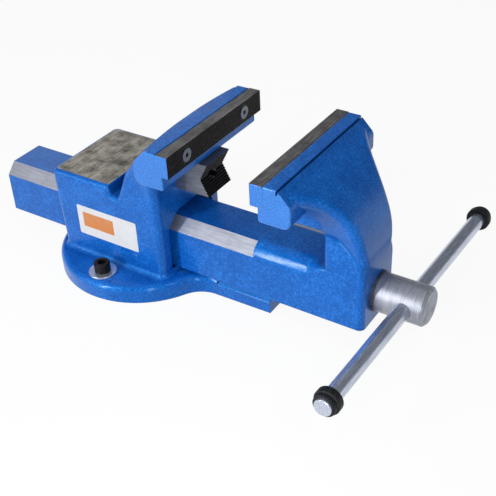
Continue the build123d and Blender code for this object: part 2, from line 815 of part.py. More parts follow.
# Collar that draws the moving jaw back, pinned to the spindle inside the ram
with BuildPart() as retaining_collar:
    extrude(disc_on_spindle(collar_front, collar_diameter), amount=-collar_length)
    extrude(
        disc_on_spindle(collar_front, shank_diameter + 2 * turn_clearance),
        amount=-collar_length,
        mode=Mode.SUBTRACT,
    )
    with BuildSketch(Plane.XY.offset(spindle_z)):
        with Locations((collar_middle, 0)):
            Circle(collar_pin_diameter / 2 + turn_clearance)
    extrude(amount=collar_diameter, both=True, mode=Mode.SUBTRACT)
keep(retaining_collar.part, "retaining_collar")

with BuildPart() as collar_pin:
    with BuildSketch(Plane.XY.offset(spindle_z)):
        with Locations((collar_middle, 0)):
            Circle(collar_pin_diameter / 2)
    extrude(amount=collar_diameter / 2 - collar_pin_recess, both=True)
keep(collar_pin.part, "collar_pin")

# Handle bar with what sits on each of its ends
with BuildPart() as handle_bar:
    with BuildSketch(on_bar(-bar_length / 2)):
        Circle(bar_diameter / 2)
    extrude(amount=bar_length)
    for end in (NEAR, FAR):
        with BuildSketch(on_bar(end * bar_length / 2)):
            Circle(cap_stud_diameter / 2 + turn_clearance)
        extrude(amount=-end * (cap_stud_length + end_play), mode=Mode.SUBTRACT)
keep(handle_bar.part, "handle_bar")

for end, place in ((NEAR, "near"), (FAR, "far")):
    keep(grip_ring(end), f"handle_ring_{place}")
    keep(end_cap(end), f"handle_cap_{place}")
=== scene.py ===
"""Looks of a blue cast bench vise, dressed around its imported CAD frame."""

import logging
import math
from abc import ABC, abstractmethod
from collections.abc import Callable
from dataclasses import dataclass, field
from enum import Enum

import bmesh
import bpy
from mathutils import Matrix, Vector


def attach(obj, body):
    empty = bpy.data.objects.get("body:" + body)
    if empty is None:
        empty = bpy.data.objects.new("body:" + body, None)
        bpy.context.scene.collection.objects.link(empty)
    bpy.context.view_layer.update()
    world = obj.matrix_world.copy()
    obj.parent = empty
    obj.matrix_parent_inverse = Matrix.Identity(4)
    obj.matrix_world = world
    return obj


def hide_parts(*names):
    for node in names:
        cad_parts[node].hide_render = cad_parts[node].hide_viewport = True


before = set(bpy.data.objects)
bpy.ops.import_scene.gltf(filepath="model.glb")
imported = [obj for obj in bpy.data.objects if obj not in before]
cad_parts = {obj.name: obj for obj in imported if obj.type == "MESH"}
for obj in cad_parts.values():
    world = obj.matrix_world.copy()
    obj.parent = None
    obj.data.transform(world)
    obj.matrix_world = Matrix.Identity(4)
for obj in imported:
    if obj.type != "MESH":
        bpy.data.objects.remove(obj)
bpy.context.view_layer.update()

log = logging.getLogger("bench_vise")

MM = 0.001
WELD = 0.002 * MM
TOUCH = 0.01 * MM
NEAR = 0.1 * MM
CREASE = 32.0
FINE_CREASE = 30.0
BLOCK_CREASE = 25.0
WHITE = (1.0, 1.0, 1.0)
Colour = tuple[float, float, float]
Triple = tuple[float, float, float]
Socket = bpy.types.NodeSocket
FaceTest = Callable[[Vector, Vector], bool]


class Body(Enum):
    """The vise's rigid bodies."""

    BASE = "base"
    MOVING_JAW = "moving_jaw"
    SPINDLE = "spindle"
    HANDLE = "handle"


class Axis(Enum):
    """An axis, by its place in a vector."""

    X = 0
    Y = 1
    Z = 2


# Node trees


class Tree:
    """Shorthand for building a node tree, shared by materials, the world and geometry."""

    def __init__(self, tree: bpy.types.NodeTree) -> None:
        """Start with this tree, emptied."""
        self.tree = tree
        self.tree.nodes.clear()

    def add(self, kind: str, inputs: dict | None = None, **settings: object) -> bpy.types.Node:
        """Add one node.

        Args:
            kind: Blender's name for the node type.
            inputs: Values or sockets by input name or number; a socket is linked.
            settings: Properties of the node itself.

        Returns:
            The new node.
        """
        node = self.tree.nodes.new(kind)
        for key, value in settings.items():
            setattr(node, key, value)
        for key, value in (inputs or {}).items():
            if isinstance(value, Socket):
                self.tree.links.new(value, node.inputs[key])
            else:
                node.inputs[key].default_value = value
        return node

    def maths(self, operation: str, *values: object) -> Socket:
        """Return the result of one arithmetic node on numbers or sockets."""
        node = self.add("ShaderNodeMath", dict(enumerate(values)), operation=operation)
        return node.outputs[0]

    def vector(self, operation: str, *values: object) -> bpy.types.Node:
        """Return one vector arithmetic node on vectors or sockets."""
        return self.add("ShaderNodeVectorMath", dict(enumerate(values)), operation=operation)

    def ramp(self, value: Socket, stops: list[tuple[float, Colour]]) -> Socket:
        """Colour that runs through stops as a value rises.

        Args:
            value: The value that is read.
            stops: Place and linear colour of each stop, in rising order.

        Returns:
            The colour socket.
        """
        node = self.add("ShaderNodeValToRGB", {0: value})
        steps = node.color_ramp.elements
        while len(steps) < len(stops):
            steps.new(1.0)
        for step, (place, colour) in zip(steps, stops):
            step.position = place
            step.color = (*colour, 1.0)
        return node.outputs[0]


class Shader(Tree):
    """Node tree of one material."""

    def __init__(self, name: str) -> None:
        """Make an empty material.

        Args:
            name: The material's name.
        """
        self.material = bpy.data.materials.new(name)
        self.material.use_nodes = True
        super().__init__(self.material.node_tree)

    def place(self, scale: Triple = (1.0, 1.0, 1.0)) -> Socket:
        """Return object coordinates, stretched by a factor on each axis."""
        where = self.add("ShaderNodeTexCoord").outputs["Object"]
        return self.add("ShaderNodeMapping", {"Vector": where, "Scale": scale}).outputs[0]

    def noise(self, where: Socket, scale: float, detail: float, rough: float) -> Socket:
        """Return noise of about 0.5, by its cells in a metre, octaves and weight of the finer ones."""
        inputs = {"Vector": where, "Scale": scale, "Detail": detail, "Roughness": rough}
        return self.add("ShaderNodeTexNoise", inputs).outputs[0]

    def spread(self, value: Socket, low: float, high: float, to_low: float, to_high: float) -> Socket:
        """Return a value mapped from the range low to high onto to_low to to_high, held at its ends."""
        inputs = {0: value, 1: low, 2: high, 3: to_low, 4: to_high}
        return self.add("ShaderNodeMapRange", inputs).outputs[0]

    def mix(self, share: object, first: object, second: object, blend: str = "MIX") -> Socket:
        """Blend two colours.

        Args:
            share: How much of the second is taken.
            first: Colour or socket.
            second: Colour or socket.
            blend: Blender's name for the way they are blended.

        Returns:
            The blended colour.
        """
        first, second = ((*one, 1.0) if isinstance(one, tuple) else one for one in (first, second))
        inputs = {0: share, 6: first, 7: second}
        return self.add("ShaderNodeMix", inputs, data_type="RGBA", blend_type=blend).outputs[2]

    def bump(self, height: Socket, depth: float, strength: float, normal: Socket | None = None) -> Socket:
        """Relief on the surface.

        Args:
            height: Height field.
            depth: Height of a full step, in metres.
            strength: How much of it shows.
            normal: Normal that it stands on, if not the surface's own.

        Returns:
            The bent normal.
        """
        inputs = {"Height": height, "Distance": depth, "Strength": strength}
        if normal is not None:
            inputs["Normal"] = normal
        return self.add("ShaderNodeBump", inputs).outputs[0]

    def soft_edge(self, radius: object) -> Socket:
        """Return a normal that is rounded over the edges by this radius, a number or a socket."""
        return self.add("ShaderNodeBevel", {"Radius": radius}, samples=6).outputs[0]

    def surface(self, inputs: dict) -> bpy.types.Material:
        """Close the tree with a surface shader.

        Args:
            inputs: Values or sockets of the shader, by name.

        Returns:
            The finished material.
        """
        shader = self.add("ShaderNodeBsdfPrincipled", inputs)
        self.add("ShaderNodeOutputMaterial", {"Surface": shader.outputs[0]})
        return self.material


# Finishes


class Finish(ABC):
    """A finish that can be put on a piece; its material is made once."""

    made: dict[str, bpy.types.Material] = {}
    name: str

    @abstractmethod
    def make(self, shader: Shader) -> bpy.types.Material:
        """Fill the material's tree and return the material."""

    def material(self) -> bpy.types.Material:
        """Return the finish's material, made on first use."""
        if self.name not in Finish.made:
            Finish.made[self.name] = self.make(Shader(self.name))
        return Finish.made[self.name]


@dataclass(frozen=True)
class HammerPaint(Finish):
    """Glossy blue paint with a fine hammered grain over a casting.

    The paint fills the cove where the ram's neck meets the moving jaw, so edges are softer there.
    The ends of the two jaw beams are painted paler as painted light, where they face the lamps, most on
    the grain's tops.
    The hollows of the casting are darkened with painted shade.
    """

    name: str = "hammer_paint"
    deep: Colour = (0.0, 0.052, 0.31)
    blue: Colour = (0.002, 0.108, 0.485)
    pale: Colour = (0.022, 0.205, 0.72)
    # Painted light: the paler blue put on the lit ends of the jaw beams.
    lit_end_pale: Colour = (0.085, 0.255, 0.70)
    sheen: Colour = (0.05, 0.55, 1.0)
    coat_weight: float = 0.28
    coat_roughness: float = 0.14
    # Painted light on the beam ends: its share, its reach across Y, and the heights where it starts and
    # is full.
    lit_end_share: float = 0.6
    lit_end_from: float = 73.0 * MM
    lit_end_to: float = 74.6 * MM
    lit_end_foot: float = 60.0 * MM
    lit_end_full: float = 80.0 * MM
    # Painted shade in the hollows: its colour, and how far the occlusion looks for them.
    hollow_shade: Colour = (0.30, 0.45, 0.52)
    hollow_shade_reach: float = 26.0 * MM
    cloud_scale: float = 42.0
    lump_scale: float = 90.0
    lump_depth: float = 0.5 * MM
    grain_scale: float = 640.0
    grain_depth: float = 0.16 * MM
    edge: float = 1.2 * MM
    cove_edge: float = 7.0 * MM
    cove_centre: Triple = (226.0 * MM, 0.0, 82.0 * MM)
    cove_reach: Triple = (16.0 * MM, 40.0 * MM, 24.0 * MM)

    def make(self, shader: Shader) -> bpy.types.Material:
        """Mottle the blue and raise the grain on softened edges."""
        where = shader.place()
        cloud = shader.noise(where, self.cloud_scale, 4.0, 0.6)
        grain = shader.noise(where, self.grain_scale, 2.0, 0.5)
        tone = shader.maths("MULTIPLY_ADD", grain, 0.7, shader.maths("MULTIPLY", cloud, 0.3))
        colour = shader.ramp(tone, [(0.30, self.deep), (0.5, self.blue), (0.70, self.pale)])
        # Painted light pales the beam ends, then painted shade darkens the hollows.
        colour = shader.mix(self.paint_lit_ends(shader, grain), colour, self.lit_end_pale)
        colour = self.paint_hollow_shade(shader, colour)
        lumps = shader.noise(where, self.lump_scale, 2.0, 0.5)
        smooth_coat = shader.bump(lumps, self.lump_depth, 0.2, shader.soft_edge(self.softness(shader)))
        coat = shader.bump(grain, self.grain_depth, 0.08, smooth_coat)
        relief = shader.bump(grain, self.grain_depth, 0.5, smooth_coat)
        return shader.surface(
            {
                "Base Color": colour,
                "Roughness": shader.spread(grain, 0.3, 0.7, 0.32, 0.44),
                "Specular IOR Level": 0.65,
                "Specular Tint": (*self.sheen, 1.0),
                "Coat Weight": self.coat_weight,
                "Coat Roughness": self.coat_roughness,
                "Coat Normal": coat,
                "Normal": relief,
            }
        )

    def paint_hollow_shade(self, shader: Shader, colour: Socket) -> Socket:
        """Return the colour, darkened with painted shade in the hollows of the casting.

        Args:
            shader: The material's tree.
            colour: The colour out in the open.

        Returns:
            The darkened colour.
        """
        inputs = {"Distance": self.hollow_shade_reach}
        # Ambient occlusion of the casting itself, turned into painted shade.
        around = shader.add("ShaderNodeAmbientOcclusion", inputs, samples=8, only_local=True)
        share = shader.spread(around.outputs["AO"], 0.35, 0.92, 1.0, 0.0)
        return shader.mix(1.0, colour, shader.mix(share, WHITE, self.hollow_shade), "MULTIPLY")

    def paint_lit_ends(self, shader: Shader, grain: Socket) -> Socket:
        """Return how far the paint is paled as painted light, which is only at the ends of the jaw beams.

        Args:
            shader: The material's tree.
            grain: The hammered grain, whose tops are paled most.

        Returns:
            A share from 0 to 1.
        """
        where = shader.add("ShaderNodeSeparateXYZ", {0: shader.place()}).outputs
        aside = shader.maths("ABSOLUTE", where["Y"])
        end = shader.spread(aside, self.lit_end_from, self.lit_end_to, 0.0, self.lit_end_share)
        beam = shader.spread(where["Z"], self.lit_end_foot, self.lit_end_full, 0.0, 1.0)
        tops = shader.spread(grain, 0.3, 0.6, 0.6, 1.0)
        return shader.maths("MULTIPLY", shader.maths("MULTIPLY", end, beam), tops)

    def softness(self, shader: Shader) -> Socket:
        """Return the edge radius, which grows in the cove at the end of the neck."""
        away = shader.vector("SUBTRACT", shader.place(), self.cove_centre).outputs[0]
        shares = shader.vector("DIVIDE", away, self.cove_reach).outputs[0]
        far = shader.vector("LENGTH", shares).outputs["Value"]
        return shader.spread(far, 0.7, 1.0, self.cove_edge, self.edge)


@dataclass(frozen=True)
class GroundSteel(Finish):
    """Bare ground steel with fine streaks along one axis and brown stains."""

    name: str
    along: Axis
    bright: Colour
    dull: Colour
    stain: Colour
    stain_share: float
    roughness: float
    metal: float
    streak_scale: float = 900.0
    streak_stretch: float = 0.05
    patch_scale: float = 55.0

    def make(self, shader: Shader) -> bpy.types.Material:
        """Streak, stain and roughen the steel."""
        scale = [1.0, 1.0, 1.0]
        scale[self.along.value] = self.streak_stretch
        streaks = shader.noise(shader.place(tuple(scale)), self.streak_scale, 4.0, 0.65)
        patches = shader.noise(shader.place(), self.patch_scale, 5.0, 0.68)
        colour = shader.ramp(streaks, [(0.3, self.dull), (0.62, self.bright)])
        stained = shader.spread(patches, 0.42, 0.66, 0.0, self.stain_share)
        colour = shader.mix(stained, colour, self.stain)
        rough = shader.maths("MULTIPLY_ADD", streaks, 0.16, self.roughness - 0.08)
        relief = shader.bump(streaks, 0.04 * MM, 0.25, shader.soft_edge(0.4 * MM))
        return shader.surface(
            {"Base Color": colour, "Metallic": self.metal, "Roughness": rough, "Normal": relief}
        )


@dataclass(frozen=True)
class TurnedSteel(Finish):
    """Bright steel with tool marks that run round or along a shaft."""

    name: str
    stretch: Triple
    bright: Colour
    dull: Colour
    roughness: float
    metal: float = 0.85
    mark_scale: float = 1500.0
    smear_scale: float = 70.0

    def make(self, shader: Shader) -> bpy.types.Material:
        """Draw the tool marks and a few darker handling marks."""
        marks = shader.noise(shader.place(self.stretch), self.mark_scale, 3.0, 0.6)
        smears = shader.noise(shader.place(), self.smear_scale, 4.0, 0.6)
        colour = shader.ramp(marks, [(0.3, self.dull), (0.6, self.bright)])
        colour = shader.mix(shader.spread(smears, 0.52, 0.72, 0.0, 0.35), colour, self.dull)
        rough = shader.maths("MULTIPLY_ADD", smears, 0.18, self.roughness - 0.09)
        relief = shader.bump(marks, 0.02 * MM, 0.3, shader.soft_edge(0.5 * MM))
        return shader.surface(
            {"Base Color": colour, "Metallic": self.metal, "Roughness": rough, "Normal": relief}
        )


@dataclass(frozen=True)
class DarkSteel(Finish):
    """Hardened or blackened steel, oily and uneven."""

    name: str
    dark: Colour
    light: Colour
    roughness: float = 0.42
    metal: float = 0.7
    patch_scale: float = 120.0
    speck_scale: float = 1400.0

    def make(self, shader: Shader) -> bpy.types.Material:
        """Mottle the dark skin."""
        where = shader.place()
        patches = shader.noise(where, self.patch_scale, 5.0, 0.65)
        specks = shader.noise(where, self.speck_scale, 2.0, 0.5)
        tone = shader.maths("MULTIPLY_ADD", specks, 0.4, shader.maths("MULTIPLY", patches, 0.6))
        colour = shader.ramp(tone, [(0.36, self.dark), (0.66, self.light)])
        rough = shader.spread(patches, 0.3, 0.7, self.roughness - 0.08, self.roughness + 0.1)
        relief = shader.bump(specks, 0.04 * MM, 0.3, shader.soft_edge(0.3 * MM))
        return shader.surface(
            {
                "Base Color": colour,
                "Metallic": self.metal,
                "Roughness": rough,
                "Specular IOR Level": 0.2,
                "Normal": relief,
            }
        )


@dataclass(frozen=True)
class GripRubber(Finish):
    """Black moulded rubber."""

    name: str = "grip_rubber"
    black: Colour = (0.006, 0.0065, 0.008)
    dusty: Colour = (0.022, 0.023, 0.026)
    dust_scale: float = 160.0
    grain_scale: float = 2200.0

    def make(self, shader: Shader) -> bpy.types.Material:
        """Dust the black and give it a faint mould grain."""
        where = shader.place()
        dust = shader.noise(where, self.dust_scale, 4.0, 0.6)
        grain = shader.noise(where, self.grain_scale, 2.0, 0.5)
        colour = shader.ramp(dust, [(0.4, self.black), (0.7, self.dusty)])
        relief = shader.bump(grain, 0.03 * MM, 0.35, shader.soft_edge(0.5 * MM))
        rough = shader.spread(dust, 0.3, 0.7, 0.42, 0.58)
        inputs = {"Base Color": colour, "Roughness": rough, "Specular IOR Level": 0.2, "Normal": relief}
        return shader.surface(inputs)


@dataclass(frozen=True)
class StickerFilm(Finish):
    """White film with one plain orange patch."""

    patch_low: Triple
    patch_high: Triple
    name: str = "sticker_film"
    white: Colour = (0.70, 0.71, 0.73)
    orange: Colour = (0.62, 0.21, 0.045)
    soiled: Colour = (0.45, 0.47, 0.52)
    soil_scale: float = 140.0

    def make(self, shader: Shader) -> bpy.types.Material:
        """Print the patch between its two corners and soil the film a little."""
        where = shader.place()
        parts = shader.add("ShaderNodeSeparateXYZ", {0: where}).outputs
        inside = 1.0
        for axis in (Axis.X, Axis.Z):
            above = shader.maths("GREATER_THAN", parts[axis.value], self.patch_low[axis.value])
            below = shader.maths("LESS_THAN", parts[axis.value], self.patch_high[axis.value])
            inside = shader.maths("MULTIPLY", inside, shader.maths("MULTIPLY", above, below))
        soil = shader.noise(where, self.soil_scale, 4.0, 0.6)
        colour = shader.mix(inside, self.white, self.orange)
        colour = shader.mix(shader.spread(soil, 0.45, 0.75, 0.0, 0.22), colour, self.soiled)
        rough = shader.spread(soil, 0.3, 0.7, 0.32, 0.46)
        return shader.surface({"Base Color": colour, "Roughness": rough})


@dataclass(frozen=True)
class StudioPaper(Finish):
    """Pale seamless paper that reads white to the camera and still takes a shadow."""

    name: str = "studio_paper"
    paper: Colour = (0.88, 0.89, 0.90)
    fibre: Colour = (0.7, 0.7, 0.7)
    fibre_scale: float = 400.0
    bounce: Colour = (0.28, 0.28, 0.28)
    glow: float = 0.92

    def make(self, shader: Shader) -> bpy.types.Material:
        """Mix the lit paper with an even white for rays that see the background."""
        fibres = shader.noise(shader.place(), self.fibre_scale, 3.0, 0.6)
        colour = shader.mix(shader.spread(fibres, 0.3, 0.7, 0.0, 0.03), self.paper, self.fibre)
        colour = shader.mix(background_ray(shader), self.bounce, colour)
        lit = shader.add("ShaderNodeBsdfDiffuse", {"Color": colour}).outputs[0]
        white = shader.add("ShaderNodeEmission", {"Color": (*WHITE, 1.0)}).outputs[0]
        seen = shader.maths("MULTIPLY", background_ray(shader), self.glow)
        mixed = shader.add("ShaderNodeMixShader", {0: seen, 1: lit, 2: white}).outputs[0]
        shader.add("ShaderNodeOutputMaterial", {"Surface": mixed})
        return shader.material


def background_ray(tree: Tree) -> Socket:
    """Return 1 for the rays that show the background: from the camera, a mirror or glass."""
    path = tree.add("ShaderNodeLightPath").outputs
    seen = tree.maths("MAXIMUM", path["Is Camera Ray"], path["Is Glossy Ray"])
    return tree.maths("MAXIMUM", seen, path["Is Transmission Ray"])


PAINT = HammerPaint()
ANVIL_STEEL = GroundSteel(
    "anvil_steel", Axis.Y,
    (0.60, 0.56, 0.47), (0.20, 0.19, 0.16), (0.06, 0.05, 0.036), 0.9, 0.46, 0.55,
)
FLAT_STEEL = GroundSteel(
    "ram_flat_steel", Axis.X,
    (0.42, 0.44, 0.51), (0.27, 0.285, 0.34), (0.21, 0.21, 0.23), 0.35, 0.38, 0.7,
)
PLATE_STEEL = GroundSteel(
    "plate_top_steel", Axis.Y,
    (0.25, 0.24, 0.24), (0.09, 0.088, 0.09), (0.05, 0.044, 0.04), 0.75, 0.42, 0.6,
)
PIPE_STEEL = GroundSteel(
    "pipe_end_steel", Axis.X,
    (0.22, 0.24, 0.28), (0.12, 0.13, 0.155), (0.07, 0.07, 0.078), 0.4, 0.42, 0.7,
)
PLATE_FACE = DarkSteel("plate_face_steel", (0.006, 0.006, 0.006), (0.030, 0.028, 0.026))
TOOTH_STEEL = DarkSteel("tooth_steel", (0.004, 0.004, 0.005), (0.016, 0.016, 0.018))
SCREW_STEEL = DarkSteel("screw_steel", (0.075, 0.09, 0.12), (0.20, 0.22, 0.27), 0.34, 0.9)
BLACK_STEEL = DarkSteel("black_steel", (0.006, 0.006, 0.007), (0.022, 0.022, 0.024), 0.36, 0.6)
WASHER_STEEL = DarkSteel("thrust_washer_steel", (0.05, 0.055, 0.07), (0.14, 0.15, 0.18), 0.36, 0.8)
NUT_IRON = DarkSteel("nut_iron", (0.06, 0.058, 0.055), (0.15, 0.145, 0.14), 0.5, 0.7)
ZINC = DarkSteel("zinc_washer", (0.44, 0.50, 0.60), (0.68, 0.73, 0.82), 0.34, 0.9)
HEAD_STEEL = TurnedSteel(
    "turned_head_steel", (1.0, 0.05, 0.05), (0.38, 0.40, 0.45), (0.23, 0.24, 0.29), 0.5
)
BAR_STEEL = TurnedSteel(
    "drawn_bar_steel", (1.0, 0.03, 1.0), (0.62, 0.67, 0.78), (0.36, 0.40, 0.48), 0.25
)
THREAD_STEEL = TurnedSteel(
    "cut_thread_steel", (1.0, 0.1, 0.1), (0.34, 0.33, 0.32), (0.17, 0.16, 0.15), 0.34
)
RUBBER = GripRubber()


# Pieces


def show(name: str, mesh: bpy.types.Mesh) -> bpy.types.Object:
    """Put a mesh in the scene as an object at the origin.

    Args:
        name: The piece's name.
        mesh: Its mesh, already in place.

    Returns:
        The new object.
    """
    mesh.name = name
    piece = bpy.data.objects.new(name, mesh)
    bpy.context.scene.collection.objects.link(piece)
    return piece


def show_shape(name: str, shape: bmesh.types.BMesh) -> bpy.types.Object:
    """Put a mesh in work in the scene, and free it.

    Args:
        name: The piece's name.
        shape: The mesh in work.

    Returns:
        The new object.
    """
    mesh = bpy.data.meshes.new(name)
    shape.to_mesh(mesh)
    shape.free()
    return show(name, mesh)


def settle(piece: bpy.types.Object) -> bpy.types.Object:
    """Turn a piece's modifiers into its plain mesh.

    Args:
        piece: The object whose modifiers are evaluated and then removed.

    Returns:
        The same object.
    """
    graph = bpy.context.evaluated_depsgraph_get()
    made = piece.evaluated_get(graph)
    mesh = bpy.data.meshes.new_from_object(made, preserve_all_data_layers=True, depsgraph=graph)
    piece.modifiers.clear()
    piece.data = mesh
    return piece


def smooth(piece: bpy.types.Object, angle: float) -> None:
    """Shade a piece smoothly, with creases over this angle in degrees, and keep its flats flat."""
    piece.data.shade_smooth()
    piece.data.set_sharp_from_angle(angle=math.radians(angle))
    even = piece.modifiers.new("even_normals", "WEIGHTED_NORMAL")
    even.keep_sharp = True
    even.weight = 100
    settle(piece)


def cad_copy(node: str, name: str, angle: float = CREASE) -> bpy.types.Object:
    """Copy a CAD node as a closed, smoothly shaded piece.

    Args:
        node: The CAD node.
        name: The piece's name.
        angle: Edges sharper than this, in degrees, stay creased.

    Returns:
        The new piece, which has no finish yet.
    """
    shape = bmesh.new()
    shape.from_mesh(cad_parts[node].data)
    bmesh.ops.remove_doubles(shape, verts=shape.verts, dist=WELD)
    shape.verts.index_update()
    points = [point.co[:] for point in shape.verts]
    faces = [[point.index for point in face.verts] for face in shape.faces]
    shape.free()
    mesh = bpy.data.meshes.new(name)
    mesh.from_pydata(points, [], faces)
    piece = show(name, mesh)
    smooth(piece, angle)
    return piece


def dress(piece: bpy.types.Object, main: Finish, *others: tuple[Finish, FaceTest]) -> None:
    """Give a piece its finishes.

    Args:
        piece: The piece.
        main: Finish of every face that no test takes.
        others: Finishes with the test, of a face's centre and normal, that gives them a face.
    """
    mesh = piece.data
    mesh.materials.clear()
    mesh.materials.append(main.material())
    for finish, _ in others:
        mesh.materials.append(finish.material())
    for face in mesh.polygons:
        face.material_index = 0
        for number, (_, test) in enumerate(others, 1):
            if test(face.center, face.normal):
                face.material_index = number


def hand_over(piece: bpy.types.Object, body: Body, slot: str | None, *nodes: str) -> None:
    """Let a piece ride on its body and stand for its CAD nodes.

    Args:
        piece: The finished piece.
        body: The body it moves with.
        slot: Not used.
        nodes: CAD nodes that it stands for.
    """
    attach(piece, body.value)
    if nodes:
        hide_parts(*nodes)
    log.info("%s: %d faces on %s", piece.name, len(piece.data.polygons), body.value)


def plain_piece(node: str, name: str, finish: Finish, body: Body, slot: str) -> None:
    """Make a piece of one finish from a CAD node.

    Args:
        node: The CAD node.
        name: The piece's name.
        finish: Its only finish.
        body: The body it moves with.
        slot: A material slot's name, handed on.
    """
    piece = cad_copy(node, name)
    dress(piece, finish)
    hand_over(piece, body, slot, node)


class Recipe(Tree):
    """Geometry node tree with named inputs, which turns into a plain mesh."""

    def __init__(self, name: str, numbers: tuple[str, ...], **others: str) -> None:
        """Make the tree with its inputs, the last of which is a material.

        Args:
            name: The tree's name.
            numbers: Names of the inputs that are plain numbers.
            others: Kind of each further input, by its name.
        """
        group = bpy.data.node_groups.new(name, "GeometryNodeTree")
        super().__init__(group)
        group.interface.new_socket("Geometry", in_out="OUTPUT", socket_type="NodeSocketGeometry")
        kinds = {**dict.fromkeys(numbers, "Float"), **others, "Material": "Material"}
        self.sockets = {}
        for key, kind in kinds.items():
            socket = group.interface.new_socket(key, in_out="INPUT", socket_type=f"NodeSocket{kind}")
            self.sockets[key] = socket.identifier
        self.given = self.add("NodeGroupInput").outputs

    def position(self) -> bpy.types.NodeOutputs:
        """Return the place of each point, as X, Y and Z sockets."""
        place = self.add("GeometryNodeInputPosition").outputs[0]
        return self.add("ShaderNodeSeparateXYZ", {0: place}).outputs

    def close(self, shape: Socket) -> None:
        """Realize what the tree made, give it the tree's Material input and put it out."""
        real = self.add("GeometryNodeRealizeInstances", {0: shape}).outputs[0]
        finished = {"Geometry": real, "Material": self.given["Material"]}
        self.add("NodeGroupOutput", {0: self.add("GeometryNodeSetMaterial", finished).outputs[0]})

    def bake(self, name: str, **values: object) -> bpy.types.Object:
        """Run the tree once.

        Args:
            name: Name of the new piece.
            values: Value of each input, with underscores for the spaces in its name.

        Returns:
            The piece, as a plain mesh.
        """
        piece = show(name, bpy.data.meshes.new(name))
        made = piece.modifiers.new(name, "NODES")
        made.node_group = self.tree
        for key, value in values.items():
            made[self.sockets[key.replace("_", " ")]] = value
        return settle(piece)


def spun(rings: list[tuple[float, float, float]], steps: int = 48) -> bmesh.types.BMesh:
    """Closed solid of rings round Z, each a circle or a hexagon.

    Args:
        rings: Height, radius and hexagon share (0 a circle, 1 a hexagon over its flats) of each ring.
        steps: Points on a ring, a multiple of 6.

    Returns:
        The mesh in work.
    """
    shape = bmesh.new()
    loops = []
    for height, radius, hexagon in rings:
        loop = []
        for step in range(steps):
            turn = 2 * math.pi * step / steps
            flat = radius / math.cos((turn + math.pi / 6) % (math.pi / 3) - math.pi / 6)
            reach = radius + hexagon * (flat - radius)
            loop.append(shape.verts.new((reach * math.cos(turn), reach * math.sin(turn), height)))
        loops.append(loop)
    for low, high in zip(loops, loops[1:]):
        for step in range(steps):
            after = (step + 1) % steps
            shape.faces.new((low[step], low[after], high[after], high[step]))
    shape.faces.new(list(reversed(loops[0])))
    shape.faces.new(loops[-1])
    bmesh.ops.recalc_face_normals(shape, faces=shape.faces)
    return shape


# Sub-assemblies


@dataclass
class Castings:
    """The two blue castings, with their bare machined faces."""

    anvil_height: float = 107.0 * MM
    anvil_front: float = 2.4 * MM
    neck_start: float = 153.1 * MM
    flat_low: float = 64.0 * MM
    level: float = 0.99
    slack: float = 0.05

    def is_anvil(self, centre: Vector, normal: Vector) -> bool:
        """Tell whether a face is on the anvil's bare top."""
        on_top = normal.z > self.level and abs(centre.z - self.anvil_height) < NEAR
        return on_top and centre.x < self.anvil_front

    def is_ram_flat(self, centre: Vector, normal: Vector) -> bool:
        """Tell whether a face is on one of the ram's two machined flats."""
        slanted = abs(abs(normal.y) - normal.z) < self.slack and abs(normal.x) < self.slack
        return slanted and centre.x < self.neck_start and centre.z > self.flat_low

    def build(self) -> None:
        """Make both castings."""
        body = cad_copy("fixed_body", "body_casting")
        dress(body, PAINT, (ANVIL_STEEL, self.is_anvil))
        hand_over(body, Body.BASE, "cast_paint", "fixed_body")
        jaw = cad_copy("moving_jaw", "moving_jaw_casting")
        dress(jaw, PAINT, (FLAT_STEEL, self.is_ram_flat))
        hand_over(jaw, Body.MOVING_JAW, "cast_paint", "moving_jaw")


